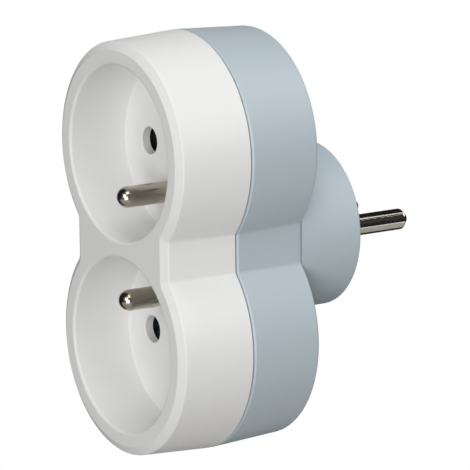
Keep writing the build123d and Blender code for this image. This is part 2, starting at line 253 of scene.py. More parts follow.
class NodeTree:
    """Nodes of a material or of the world, with short calls for those that this scene uses."""

    # Places of the colour sockets among all the sockets of a Mix node
    mix_share = 0
    mix_first = 6
    mix_second = 7
    mix_result = 2

    def __init__(self, tree: bpy.types.NodeTree) -> None:
        """Starts from an emptied tree.

        Args:
            tree: node tree to build in.
        """
        self.tree = tree
        self.tree.nodes.clear()

    def add(self, kind: str, **inputs: object) -> bpy.types.Node:
        """Adds a node and fills its inputs.

        Args:
            kind: type of the node.
            inputs: values or output sockets by input name, with _ for a space.

        Returns:
            The new node.
        """
        node = self.tree.nodes.new(kind)
        for key, value in inputs.items():
            self.put(node, key.replace("_", " "), value)
        return node

    def put(self, node: bpy.types.Node, key: str | int, value: object) -> None:
        """Sets an input to a value, or links an output socket to it.

        Args:
            node: node that owns the input.
            key: name or index of the input.
            value: value or output socket.
        """
        if isinstance(value, Socket):
            self.tree.links.new(value, node.inputs[key])
        else:
            node.inputs[key].default_value = value

    def place(self) -> Socket:
        """Object coordinates, in metres."""
        return self.add("ShaderNodeTexCoord").outputs["Object"]

    def noise(self, place: Socket, scale: float, detail: float) -> Socket:
        """Noise value with about scale cells per metre."""
        node = self.add("ShaderNodeTexNoise", Vector=place, Scale=scale, Detail=detail)
        return node.outputs["Fac"]

    def ramp(self, value: Socket, middle: float, spread: float) -> Socket:
        """Value from 0..1 laid over middle - spread to middle + spread."""
        ends = {"To_Min": middle - spread, "To_Max": middle + spread}
        return self.add("ShaderNodeMapRange", Value=value, **ends).outputs["Result"]

    def tint(self, share: Socket, first: Color, second: Color) -> Socket:
        """Mixes two colours.

        Args:
            share: share of the second colour.
            first: colour at share 0.
            second: colour at share 1.

        Returns:
            The mixed colour.
        """
        mix = self.add("ShaderNodeMix")
        mix.data_type = "RGBA"
        self.put(mix, self.mix_share, share)
        self.put(mix, self.mix_first, (*first, OPAQUE))
        self.put(mix, self.mix_second, (*second, OPAQUE))
        return mix.outputs[self.mix_result]

    def total(self, *values: Socket) -> Socket:
        """Adds values up to 1 at most.

        Args:
            values: two values or more.

        Returns:
            The sum.
        """
        whole = values[0]
        for value in values[1:]:
            node = self.add("ShaderNodeMath")
            node.operation = "ADD"
            node.use_clamp = True
            self.put(node, 0, whole)
            self.put(node, 1, value)
            whole = node.outputs["Value"]
        return whole

    def blend(self, share: Socket, first: Socket, second: Socket) -> Socket:
        """Mixes two shaders.

        Args:
            share: share of the second shader.
            first: shader at share 0.
            second: shader at share 1.

        Returns:
            The mixed shader.
        """
        mix = self.add("ShaderNodeMixShader")
        for key, value in enumerate((share, first, second)):
            self.put(mix, key, value)
        return mix.outputs["Shader"]

    def bump(self, height: Socket, depth: float) -> Socket:
        """Normal disturbed by a height of so many metres."""
        node = self.add("ShaderNodeBump", Strength=1.0, Distance=depth, Height=height)
        return node.outputs["Normal"]


class NodeMaterial(NodeTree):
    """New material under construction."""

    def __init__(self, name: str) -> None:
        """Makes an empty node material.

        Args:
            name: name of the material.
        """
        self.material = bpy.data.materials.new(name)
        self.material.use_nodes = True
        super().__init__(self.material.node_tree)

    def show(self, surface: Socket) -> Material:
        """Puts a shader on the surface and gives the material."""
        self.add("ShaderNodeOutputMaterial", Surface=surface)
        return self.material

    def finish(self, **inputs: object) -> Material:
        """Puts the usual shader on the surface and gives the material."""
        return self.show(self.add("ShaderNodeBsdfPrincipled", **inputs).outputs["BSDF"])


@dataclass(frozen=True)
class MouldedPlastic:
    """Moulded plastic: fine spark texture (depth in metres), faint flow mottling, satin gloss."""

    name: str
    color: Color
    mottle: float = 0.015
    roughness: float = 0.42
    roughness_spread: float = 0.08
    flow_per_metre: float = 38.0
    flow_detail: float = 2.0
    grain_per_metre: float = 5200.0
    grain_detail: float = 3.0
    grain_depth: float = 3.0e-6

    def build(self) -> Material:
        """Makes the material.

        Returns:
            The finished material.
        """
        nodes = NodeMaterial(self.name)
        place = nodes.place()
        flow = nodes.noise(place, self.flow_per_metre, self.flow_detail)
        grain = nodes.noise(place, self.grain_per_metre, self.grain_detail)
        deep = tuple(channel * (1 - self.mottle) for channel in self.color)
        pale = tuple(min(1.0, channel * (1 + self.mottle)) for channel in self.color)
        return nodes.finish(
            Base_Color=nodes.tint(flow, deep, pale),
            Roughness=nodes.ramp(grain, self.roughness, self.roughness_spread),
            Normal=nodes.bump(grain, self.grain_depth),
        )


# Scales of a pattern's coordinates that draw it out along one axis
ALONG_Y = (1.0, 0.02, 1.0)
ALONG_Z = (1.0, 1.0, 0.02)


@dataclass(frozen=True)
class DrawnMetal:
    """Plated or rolled metal: fine lines along the piece (depth in metres), cloudy gloss."""

    name: str
    color: Color
    shade: Color
    roughness: float
    roughness_spread: float
    stretch: Point3 = ALONG_Y
    lines_per_metre: float = 9000.0
    line_detail: float = 2.0
    line_depth: float = 1.0e-6
    cloud_per_metre: float = 420.0
    cloud_detail: float = 3.0

    def build(self) -> Material:
        """Makes the material.

        Returns:
            The finished material.
        """
        nodes = NodeMaterial(self.name)
        place = nodes.place()
        drawn = nodes.add("ShaderNodeMapping", Vector=place, Scale=self.stretch).outputs["Vector"]
        lines = nodes.noise(drawn, self.lines_per_metre, self.line_detail)
        cloud = nodes.noise(place, self.cloud_per_metre, self.cloud_detail)
        return nodes.finish(
            Base_Color=nodes.tint(cloud, self.shade, self.color),
            Metallic=1.0,
            Roughness=nodes.ramp(lines, self.roughness, self.roughness_spread),
            Normal=nodes.bump(lines, self.line_depth),
        )


COVER_WHITE = MouldedPlastic("cover_white", (0.86, 0.86, 0.85))
HOUSING_BLUE_GREY = MouldedPlastic("housing_blue_grey", (0.50, 0.58, 0.625))
# Carrier: charcoal, partly its own dark plastic and partly painted shade, so that it stays dark
# through the contact holes
CARRIER_CHARCOAL_AND_SHADE = MouldedPlastic("carrier_charcoal_and_shade", (0.022, 0.024, 0.025), roughness=0.60)
# Shutters: near-black teal, partly their own dark plastic and partly painted shade for the holes
# they sit behind
SHUTTER_DARK_AND_SHADE = MouldedPlastic("shutter_dark_and_shade", (0.010, 0.020, 0.021), roughness=0.60)
DOME_BLACK = MouldedPlastic("dome_black", (0.012, 0.012, 0.013), roughness=0.80)
PLUG_NICKEL = DrawnMetal("plug_pin_nickel", (0.82, 0.77, 0.68), (0.75, 0.70, 0.62), 0.12, 0.04)
EARTH_NICKEL = DrawnMetal("earth_pin_nickel", (0.58, 0.53, 0.44), (0.49, 0.45, 0.37), 0.24, 0.08)
STRIP_BRASS = DrawnMetal("strip_brass", (0.78, 0.57, 0.24), (0.66, 0.46, 0.18), 0.30, 0.07, ALONG_Z)
SPRING_STEEL = DrawnMetal("spring_steel", (0.56, 0.56, 0.57), (0.46, 0.46, 0.47), 0.30, 0.06)
SCREW_ZINC = DrawnMetal("screw_zinc", (0.62, 0.62, 0.63), (0.52, 0.52, 0.54), 0.32, 0.08)


def settle(piece: Piece, material: Material, node: str) -> None:
    """Gives a new piece its finish and its place in the model, and logs it.

    Args:
        piece: the new piece.
        material: its finish.
        node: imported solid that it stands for.
    """
    piece.data.materials.append(material)
    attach(piece, Body.CASE.value)
    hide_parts(node)
    log.info("%s stands for %s, %d faces", piece.name, node, len(piece.data.polygons))


# Casing


@dataclass(frozen=True)
class Casing:
    """Figure-eight outline at the seam and the stations that both mouldings share."""

    socket_z: float = 21.75
    seam_radius: float = 26.0
    waist_half: float = 19.35
    crease: float = 0.8
    plug_wall: float = 3.0
    rear_face: float = 16.0
    rear_wall: float = 2.2
    housing_edge: float = 34.2
    seam_gap: float = 0.4
    tongue_end: float = 36.0
    tongue_play: float = 0.1
    floor_wall: float = 2.2
    well_depth: float = 14.5
    waist_steps: int = 8
    crease_steps: int = 10
    lobe_steps: int = 60
    bridge_steps: int = 26

    @property
    def rear_wall_front(self) -> float:
        """Station of the rear wall's inner face."""
        return self.rear_face + self.rear_wall

    @property
    def cover_edge(self) -> float:
        """Station of the cover's edge at the seam."""
        return self.housing_edge + self.seam_gap

    @property
    def floor_back(self) -> float:
        """Station of the inner face of the wells' floors."""
        return self.tongue_end + self.tongue_play

    @property
    def well_floor(self) -> float:
        """Station of the wells' floors."""
        return self.floor_back + self.floor_wall

    @property
    def front_face(self) -> float:
        """Station of the cover's front."""
        return self.well_floor + self.well_depth

    def half_path(self) -> tuple[np.ndarray, np.ndarray]:
        """Upper half of the outline, with its outward normals.

        The waist's side rises straight to a small arc that leads into the lobe's circle. The
        arc's centre lies outside both, at the crease radius from each. The left side mirrors
        the right one.

        Returns:
            Points and unit normals, each of shape (n, 2), from right to left.
        """
        arc_x = self.waist_half + self.crease
        arc_z = self.socket_z - math.sqrt((self.seam_radius + self.crease) ** 2 - arc_x**2)
        lean = math.atan2(arc_z - self.socket_z, arc_x)
        rise = np.linspace(0, arc_z, self.waist_steps, endpoint=False)
        side = np.stack([np.full_like(rise, self.waist_half), rise], -1)
        side_normal = np.tile([1.0, 0.0], (self.waist_steps, 1))
        bend_normal = circle((0, 0), 1.0, np.linspace(0, lean, self.crease_steps, endpoint=False))
        bend = np.array([arc_x, arc_z]) - self.crease * bend_normal
        sweep = np.linspace(lean, math.pi / 2, self.lobe_steps, endpoint=False)
        lobe_normal = circle((0, 0), 1.0, sweep)
        lobe = np.array([0.0, self.socket_z]) + self.seam_radius * lobe_normal
        right = np.concatenate([side, bend, lobe])
        right_normal = np.concatenate([side_normal, bend_normal, lobe_normal])
        top = np.array([[0.0, self.socket_z + self.seam_radius]])
        flip = np.array([-1.0, 1.0])
        points = np.concatenate([right, top, right[::-1] * flip])
        normals = np.concatenate([right_normal, [[0.0, 1.0]], right_normal[::-1] * flip])
        return points, normals

    def carry(self, profile: np.ndarray) -> np.ndarray:
        """Wall profile carried round the whole outline.

        Each outline point moves in along its normal by the profile's inset and stands at the
        profile's station. The lower half mirrors the upper one.

        Args:
            profile: rows of inset and ahead.

        Returns:
            Grid of points, shape (rows, n, 3).
        """
        points, normals = self.half_path()
        flip = np.array([1.0, -1.0])
        points = np.concatenate([points, points[-2:0:-1] * flip])
        normals = np.concatenate([normals, normals[-2:0:-1] * flip])
        flat = points - profile[:, 0, None, None] * normals
        return at_station(flat, profile[:, 1, None])

    def half_loop(self, inset: float, end: End) -> np.ndarray:
        """Half of the outline, drawn in and closed by a line across the waist.

        Args:
            inset: distance by which the outline is drawn in.
            end: which half.

        Returns:
            Closed loop of points (x, z), shape (n, 2).
        """
        points, normals = self.half_path()
        arch = points - inset * normals
        across = np.linspace(arch[-1, 0], arch[0, 0], self.bridge_steps + 1)[1:-1]
        loop = np.concatenate([arch, np.stack([across, np.zeros_like(across)], -1)])
        return loop * np.array([1.0, end.value])


@dataclass(frozen=True)
class Hole:
    """Round hole through a wall, with a broken edge at its mouth."""

    centre: Point
    radius: float
    edge: float = 0.0

    def wall(self, mouth: float, far: float, angles: np.ndarray) -> np.ndarray:
        """Wall of the hole as a turned surface, from the broken edge at the mouth to the far side.

        Args:
            mouth: station of the hole's mouth.
            far: station of its other end.
            angles: angles round the hole.

        Returns:
            Grid of points, shape (3, angles, 3).
        """
        step = math.copysign(self.edge, far - mouth)
        rows = [(self.radius + self.edge, mouth), (self.radius, mouth + step), (self.radius, far)]
        return lathe(self.centre, np.array(rows), angles)


@dataclass(frozen=True)
class PinPattern:
    """Wall with two contact holes and an earth hole, in three sectors.

    Spokes from a middle point to the wall's border divide it into a sector for each hole. In
    a sector, rows of points run from the hole's edge out to the sector's border.
    """

    pin_x: float = 9.5
    earth_offset: float = 10.0
    root_hole: Point = (2.65, 0.0)
    spoke_angle: float = math.radians(43.4)
    middle_offset: float = 0.5
    spoke_steps: int = 6
    rows: int = 5

    def holes(self, z: float, earth_way: int, contact: Point, earth: Point) -> list[Hole]:
        """The three holes: right contact, left contact and earth.

        Args:
            z: height of the contacts.
            earth_way: 1 where the earth hole is above the contacts, -1 below.
            contact: radius and broken edge of the contact holes.
            earth: radius and broken edge of the earth hole.

        Returns:
            The holes, in the order of their sectors.
        """
        contacts = [Hole((x, z), *contact) for x in (self.pin_x, -self.pin_x)]
        return [*contacts, Hole((0.0, z + earth_way * self.earth_offset), *earth)]

    def border(self, loop: np.ndarray, middle: np.ndarray, first: int, last: int) -> np.ndarray:
        """Border of one sector: out along a spoke, round the loop and back to the middle.

        Args:
            loop: border of the wall.
            middle: point where the spokes meet.
            first: loop index where the sector starts.
            last: loop index where it ends.

        Returns:
            Closed loop of points (x, z), shape (n, 2).
        """
        share = np.linspace(0, 1, self.spoke_steps + 1)[:, None]
        rim = loop[(first + np.arange((last - first) % len(loop) + 1)) % len(loop)]
        out = (1 - share) * middle + share * rim[0]
        back = share * middle + (1 - share) * rim[-1]
        return np.concatenate([out[:-1], rim, back[1:-1]])

    def add_to(
        self,
        sheet: Sheet,
        holes: list[Hole],
        earth_way: int,
        front: tuple[np.ndarray, float],
        back: tuple[np.ndarray, float],
    ) -> None:
        """Adds both faces of the wall and the walls of its holes.

        Each spoke ends at the border point nearest to its wanted angle.

        Args:
            sheet: sheet of the piece.
            holes: the holes, in the order of their sectors.
            earth_way: 1 where the earth hole is above the contacts, -1 below.
            front: border and station of the face with the holes' mouths.
            back: border and station of the other face, point for point.
        """
        (front_loop, mouth), (back_loop, far) = front, back
        contact_z = holes[0].centre[1]
        middle = np.array([0.0, contact_z + earth_way * self.middle_offset])
        seen = -earth_way * angles_about((0.0, contact_z), front_loop)
        wanted = (-self.spoke_angle, math.pi / 2, math.pi + self.spoke_angle)
        cuts = [int(np.argmin(np.abs(np.angle(np.exp(1j * (seen - angle)))))) for angle in wanted]
        for hole, first, last in zip(holes, cuts, cuts[1:] + cuts[:1]):
            front_border = self.border(front_loop, middle, first, last)
            back_border = self.border(back_loop, middle, first, last)
            angles = angles_about(hole.centre, front_border)
            edge = circle(hole.centre, hole.radius + hole.edge, angles)
            throat = circle(hole.centre, hole.radius, angles)
            sheet.add(between(edge, front_border, mouth, self.rows))
            sheet.add(hole.wall(mouth, far, angles))
            sheet.add(between(throat, back_border, far, self.rows))


@dataclass
class FrontCover:
    """White front moulding with a round well for each socket."""

    casing: Casing
    pattern: PinPattern
    flare: float = 1.0
    recess_inset: float = 1.1
    mouth_radius: float = 19.9
    floor_radius: float = 19.45
    bevel_width: float = 1.9
    bevel_depth: float = 1.1
    bevel_round: float = 0.5
    front_round: float = 0.25
    rim_round: float = 0.7
    floor_round: float = 0.15
    edge_round: float = 0.2
    ring_inset: float = 4.0
    rim_reach: float = 0.9
    floor_reach: float = 2.0
    contact_hole: Point = (3.1, 0.25)
    ring_steps: int = 4

    def build(self) -> Piece:
        """Builds the cover as one closed mesh.

        Returns:
            The cover.
        """
        case = self.casing
        sheet = Sheet()
        bevel_share = self.bevel_depth / (case.front_face - case.cover_edge)
        wall = rounded(
            [
                (self.ring_inset, case.front_face),
                (self.flare + self.bevel_width, case.front_face),
                (self.flare * (1 - bevel_share), case.front_face - self.bevel_depth),
                (0.0, case.cover_edge),
                (self.recess_inset, case.cover_edge),
                (self.recess_inset, case.floor_back),
            ],
            [0, self.front_round, self.bevel_round, self.edge_round, 0, 0],
        )
        sheet.add(case.carry(wall))
        for end in End:
            self.add_well(sheet, end)
        return sheet.to_object("front_cover_moulding")

    def add_well(self, sheet: Sheet, end: End) -> None:
        """Adds one well: the flat ring in front, rim, wall, and the floor with its holes.

        Args:
            sheet: sheet of the cover.
            end: which socket.
        """
        case = self.casing
        centre = (0.0, end.value * case.socket_z)
        ring = case.half_loop(self.ring_inset, end)
        angles = angles_about(centre, ring)
        rim_radius = self.mouth_radius + self.rim_reach
        rim = circle(centre, rim_radius, angles)
        sheet.add(between(rim, ring, case.front_face, self.ring_steps))
        flat_radius = self.floor_radius - self.floor_reach
        well = rounded(
            [
                (rim_radius, case.front_face),
                (self.mouth_radius, case.front_face),
                (self.floor_radius, case.well_floor),
                (flat_radius, case.well_floor),
            ],
            [0, self.rim_round, self.floor_round, 0],
        )
        sheet.add(lathe(centre, well, angles))
        earth_way = -end.value
        holes = self.pattern.holes(centre[1], earth_way, self.contact_hole, self.pattern.root_hole)
        floor = (circle(centre, flat_radius, angles), case.well_floor)
        back = (case.half_loop(self.recess_inset, end), case.floor_back)
        self.pattern.add_to(sheet, holes, earth_way, floor, back)

    def dress(self, piece: Piece) -> None:
        """Gives the cover its white plastic."""
        settle(piece, COVER_WHITE.build(), "front_cover")


@dataclass
class RearHousing:
    """Blue-grey rear moulding with the plug barrel."""

    casing: Casing
    pattern: PinPattern
    taper: float = 0.9
    rear_round: float = 0.8
    seam_chamfer: float = 0.4
    tongue_inset: float = 1.2
    tongue_inner: float = 2.2
    hollow_inset: float = 3.1
    flat_inset: float = 2.7
    screw_z: float = 40.1
    recess_radius: float = 3.1
    recess_edge: float = 0.15
    screw_seat: float = 25.5
    screw_hole: float = 1.8
    boss_radius: float = 4.0
    boss_end: float = 27.5
    post_radius: float = 2.0
    post_x: float = 18.5
    barrel_end: float = 18.95
    barrel_root: float = 19.0
    barrel_wall: float = 3.0
    plug_round: float = 0.6
    plug_flat: float = 16.0
    earth_hole: Point = (2.7, 0.3)
    wall_steps: int = 10
    post_segments: int = 32
    barrel_segments: int = 128
    round_steps: int = 10

    def build(self) -> Piece:
        """Builds the housing as one mesh of closed shells.

        Returns:
            The housing.
        """
        case = self.casing
        sheet = Sheet()
        wall = rounded(
            [
                (self.flat_inset, case.rear_face),
                (self.taper, case.rear_face),
                (0.0, case.housing_edge - self.seam_chamfer),
                (self.seam_chamfer, case.housing_edge),
                (self.tongue_inset, case.housing_edge),
                (self.tongue_inset, case.tongue_end),
                (self.tongue_inner, case.tongue_end),
                (self.hollow_inset, case.rear_wall_front),
            ],
            [0, self.rear_round, 0, 0, 0, 0, 0, 0],
        )
        sheet.add(case.carry(wall))
        for end in End:
            self.add_screw_boss(sheet, end)
        self.add_barrel(sheet)
        return sheet.to_object("rear_housing_moulding")

    def add_screw_boss(self, sheet: Sheet, end: End) -> None:
        """Adds one half of the rear wall, with the deep screw hole and its boss, and the posts.

        Args:
            sheet: sheet of the housing.
            end: which half.
        """
        case = self.casing
        centre = (0.0, end.value * self.screw_z)
        flat = case.half_loop(self.flat_inset, end)
        angles = angles_about(centre, flat)
        mouth = self.recess_radius + self.recess_edge
        profile = [
            (mouth, case.rear_face),
            (self.recess_radius, case.rear_face + self.recess_edge),
            (self.recess_radius, self.screw_seat),
            (self.screw_hole, self.screw_seat),
            (self.screw_hole, self.boss_end),
            (self.boss_radius, self.boss_end),
            (self.boss_radius, case.rear_wall_front),
        ]
        sheet.add(between(circle(centre, mouth, angles), flat, case.rear_face, self.wall_steps))
        sheet.add(lathe(centre, np.array(profile), angles))
        inner = case.half_loop(self.hollow_inset, end)
        foot = circle(centre, self.boss_radius, angles)
        sheet.add(between(foot, inner, case.rear_wall_front, self.wall_steps))
        post = [
            (0.0, case.rear_wall_front),
            (self.post_radius, case.rear_wall_front),
            (self.post_radius, self.boss_end),
            (0.0, self.boss_end),
        ]
        for side in Side:
            place = (side.value * self.post_x, end.value * case.socket_z)
            sheet.add(lathe(place, np.array(post), full_turn(self.post_segments)))

    def add_barrel(self, sheet: Sheet) -> None:
        """Adds the plug barrel: drafted outside, hollow, with the holed plug wall at its end.

        Args:
            sheet: sheet of the housing.
        """
        case = self.casing
        angles = -full_turn(self.barrel_segments)
        hollow_radius = self.barrel_end - self.barrel_wall
        barrel = rounded(
            [
                (self.plug_flat, 0.0),
                (self.barrel_end, 0.0),
                (self.barrel_root, case.rear_face),
                (self.barrel_root - self.barrel_wall, case.rear_face),
                (hollow_radius, case.plug_wall),
            ],
            [0, self.plug_round, 0, 0, 0],
            self.round_steps,
        )
        sheet.add(lathe((0.0, 0.0), barrel, angles))
        earth_way = End.UPPER.value
        holes = self.pattern.holes(0.0, earth_way, self.pattern.root_hole, self.earth_hole)
        face = (circle((0.0, 0.0), self.plug_flat, angles), 0.0)
        back = (circle((0.0, 0.0), hollow_radius, angles), case.plug_wall)
        self.pattern.add_to(sheet, holes, earth_way, face, back)

    def dress(self, piece: Piece) -> None:
        """Gives the housing its blue-grey plastic."""
        settle(piece, HOUSING_BLUE_GREY.build(), "rear_housing")


# Pins and springs


@dataclass
class TurnedPin:
    """What plug pins and earth pins share: radii from the root to the riveted tail."""

    casing: Casing
    pattern: PinPattern
    radius: float = 2.4
    root_radius: float = 2.6
    collar_radius: float = 4.0
    tail_radius: float = 1.7
    segments: int = 72

    def turn(self, name: str, centre: Point, profile: np.ndarray) -> Piece:
        """Turns a pin about its axis.

        Args:
            name: name of the piece.
            centre: x and z of the axis.
            profile: rows of radius and ahead.

        Returns:
            The pin.
        """
        sheet = Sheet()
        sheet.add(lathe(centre, profile, full_turn(self.segments)))
        return sheet.to_object(name)


@dataclass
class PlugPin(TurnedPin):
    """Nickel plug pin with a chamfered tip, collar and riveted tail."""

    reach: float = 19.0
    tip_radius: float = 0.9
    tip_length: float = 1.5
    tip_round: float = 0.35
    shoulder_round: float = 0.6
    collar_front: float = 5.0
    tail_end: float = 8.3
    rivet_end: float = 9.1

    def build(self, side: Side) -> Piece:
        """Builds one pin, from its tip to its riveted tail.

        Args:
            side: which pin.

        Returns:
            The pin.
        """
        profile = rounded(
            [
                (0.0, -self.reach),
                (self.tip_radius, -self.reach),
                (self.radius, self.tip_length - self.reach),
                (self.radius, 0.0),
                (self.root_radius, 0.0),
                (self.root_radius, self.casing.plug_wall),
                (self.collar_radius, self.casing.plug_wall),
                (self.collar_radius, self.collar_front),
                (self.tail_radius, self.collar_front),
                (self.tail_radius, self.tail_end),
                (self.radius, self.tail_end),
                (self.radius, self.rivet_end),
                (0.0, self.rivet_end),
            ],
            [0, self.tip_round, self.shoulder_round, 0, 0, 0, 0, 0, 0, 0, 0, 0, 0],
        )
        centre = (side.value * self.pattern.pin_x, 0.0)
        return self.turn("plug_pin_" + side.word + "_turned", centre, profile)

    def dress(self, piece: Piece, side: Side, material: Material) -> None:
        """Gives a pin its bright nickel."""
        settle(piece, material, "plug_pin_" + side.word)


@dataclass
class EarthPin(TurnedPin):
    """Nickel earth pin with a round nose, collar and riveted tail."""

    collar_rear: float = 34.6
    shank_radius: float = 2.0
    shank_end: float = 27.5
    tail_end: float = 26.7
    rivet_end: float = 25.9
    nose_steps: int = 16

    def build(self, end: End) -> Piece:
        """Builds one pin; its nose is half a ball of the pin's radius.

        Args:
            end: which socket.

        Returns:
            The pin.
        """
        case = self.casing
        quarter = np.linspace(math.pi / 2, 0, self.nose_steps + 1)
        nose = circle((0.0, case.front_face - self.radius), self.radius, quarter)
        shank = np.array(
            [
                (self.radius, case.well_floor),
                (self.root_radius, case.well_floor),
                (self.root_radius, case.floor_back),
                (self.collar_radius, case.floor_back),
                (self.collar_radius, self.collar_rear),
                (self.shank_radius, self.collar_rear),
                (self.shank_radius, self.shank_end),
                (self.tail_radius, self.shank_end),
                (self.tail_radius, self.tail_end),
                (self.radius, self.tail_end),
                (self.radius, self.rivet_end),
                (0.0, self.rivet_end),
            ]
        )
        centre = (0.0, end.value * (case.socket_z - self.pattern.earth_offset))
        return self.turn("earth_pin_" + end.word + "_turned", centre, np.concatenate([nose, shank]))

    def dress(self, piece: Piece, end: End, material: Material) -> None:
        """Gives a pin its satin nickel."""
        settle(piece, material, "earth_pin_" + end.word)


@dataclass
class ShutterSpring:
    """Return spring of a shutter: round wire with a closed turn at each end."""

    casing: Casing
    axis_ahead: float = 32.8
    coil_radius: float = 1.7
    wire_radius: float = 0.2
    low: float = 4.6
    high: float = 13.3
    fixed_end: float = 13.55
    turns: float = 4.5
    closed_turns: float = 0.75
    closed_pitch: float = 0.42
    travel: float = 6.9
    steps_per_turn: int = 28
    wire_segments: int = 12

    def build(self, end: End) -> Piece:
        """Builds one spring as a wire carried along its coil.

        The coil's centre line turns evenly at the coil radius; its height rises by the closed
        pitch in the end turns and evenly between them. The wire is a circle in the plane of
        the outward and upward directions, shrunk to a point at both ends.

        Args:
            end: which socket.

        Returns:
            The spring.
        """
        case = self.casing
        turn = np.linspace(0, self.turns, round(self.turns * self.steps_per_turn) + 1)
        step = self.closed_turns * self.closed_pitch
        knots = [0, self.closed_turns, self.turns - self.closed_turns, self.turns]
        rise = np.interp(turn, knots, [self.low, self.low + step, self.high - step, self.high])
        turn = np.concatenate([turn[:1], turn, turn[-1:]])
        rise = np.concatenate([rise[:1], rise, rise[-1:]])
        wire = np.full_like(turn, self.wire_radius)
        wire[[0, -1]] = 0.0
        around = full_turn(self.wire_segments)
        radius = self.coil_radius + wire[:, None] * np.cos(around)
        angle = 2 * math.pi * turn[:, None]
        height = case.socket_z + rise[:, None] + wire[:, None] * np.sin(around)
        y = radius * np.sin(angle) - self.axis_ahead
        sheet = Sheet()
        sheet.add(np.stack([radius * np.cos(angle), y, end.value * height], -1))
        return sheet.to_object("shutter_spring_" + end.word + "_coil")

    def dress(self, piece: Piece, end: End, material: Material) -> None:
        """Gives a spring its steel and a mesh of its own.

        Args:
            piece: the spring.
            end: which socket.
            material: its finish.
        """
        settle(piece, material, "shutter_spring_" + end.word)
        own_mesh(piece)


@dataclass(frozen=True)
class CarriedSolids:
    """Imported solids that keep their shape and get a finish."""

    carrier: tuple[str, ...] = ("contact_carrier", "pin_retainer")
    shutter: tuple[str, ...] = ("shutter_upper", "shutter_lower")
    brass: tuple[str, ...] = ("live_busbar", "neutral_busbar", "earth_strip")
    spring: tuple[str, ...] = (
        "jaw_spring_upper_left",
        "jaw_spring_upper_right",
        "jaw_spring_lower_left",
        "jaw_spring_lower_right",
        "earth_jaw_spring",
    )
    screw: tuple[str, ...] = ("case_screws",)

    def dress(self, spring_steel: Material) -> None:
        """Assigns every solid its finish.

        Args:
            spring_steel: steel that the coil springs also have.
        """
        # The carrier's charcoal is partly painted shade for the inside of the contact holes
        self.paint(self.carrier, CARRIER_CHARCOAL_AND_SHADE.build())
        # The shutters' near black is partly painted shade for the inside of the contact holes
        self.paint(self.shutter, SHUTTER_DARK_AND_SHADE.build())
        self.paint(self.brass, STRIP_BRASS.build())
        self.paint(self.spring, spring_steel)
        self.paint(self.screw, SCREW_ZINC.build())

    def paint(self, names: tuple[str, ...], material: Material) -> None:
        """Puts one material into all slots of some solids.

        Args:
            names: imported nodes.
            material: their finish.
        """
        for name in names:
            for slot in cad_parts[name].material_slots:
                slot.material = material
            log.info("%s keeps its solid in %s", name, material.name)


# Studio


# Point that the lights and the camera face, in the middle of the photograph's frame
AIM: Point3 = (-2.008, -20.335, -0.964)


def direction(azimuth: float, elevation: float) -> Vector:
    """Unit vector from the object towards a light or the camera.

    Its level part, cos(rise) long, turns from -Y towards +X, and sin(rise) is its height.

    Args:
        azimuth: degrees of the turn.
        elevation: degrees of the rise.

    Returns:
        The vector.
    """
    turn, rise = math.radians(azimuth), math.radians(elevation)
    level = math.cos(rise)
    return Vector((math.sin(turn) * level, -math.cos(turn) * level, math.sin(rise)))


@dataclass(frozen=True)
class SoftBox:
    """Square studio light aimed at the object: size and distance in metres, power in watts."""

    name: str
    azimuth: float
    elevation: float
    power: float
    mirrored: bool = True
    size: float = 0.6
    distance: float = 1.2

    def build(self) -> None:
        """Makes the light."""
        light = bpy.data.lights.new(self.name, "AREA")
        light.size = self.size
        light.energy = self.power
        lamp = bpy.data.objects.new(self.name, light)
        back = direction(self.azimuth, self.elevation)
        turn = back.to_track_quat("Z", "Y").to_matrix().to_4x4()
        lamp.matrix_world = Matrix.Translation(Vector(AIM) * MM + self.distance * back) @ turn
        lamp.visible_glossy = self.mirrored
        bpy.context.scene.collection.objects.link(lamp)
        log.info("light %s", self.name)


